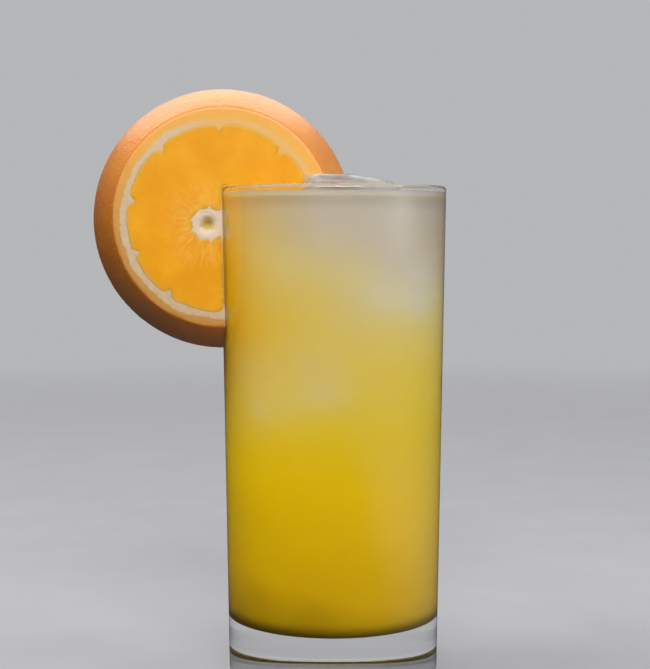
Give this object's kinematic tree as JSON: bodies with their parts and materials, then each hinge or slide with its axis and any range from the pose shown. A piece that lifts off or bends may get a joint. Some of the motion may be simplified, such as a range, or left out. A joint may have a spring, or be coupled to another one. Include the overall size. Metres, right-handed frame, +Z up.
{
  "type": "harvey wallbanger cocktail in a highball glass",
  "caption": "Tall straight clear highball glass with a thick base, filled with iced cloudy yellow orange cocktail, with a thick orange wheel slit onto its rim.",
  "frame": {"origin": "centre of the glass's underside, on the surface that it stands on", "axes": "+Z up along the glass's axis; the orange wheel hangs on the rim at -X, with its smaller cut face towards -Y, which is the side that the picture shows"},
  "size_m": [0.1035, 0.066, 0.1728],
  "materials": {
    "glass": "clear polished soda-lime glass",
    "drink": "cloudy yellow orange juice drink, paler at the top, with a wet surface",
    "orange": "moist orange flesh with cream pith and dimpled orange peel",
    "ice": "wet ice, clear outside and cloudy at the middle"
  },
  "bodies": {
    "root": {"glass": "glass", "drink": "drink", "orange_wheel": "orange", "ice_cube": "ice"}
  },
  "joints": []
}
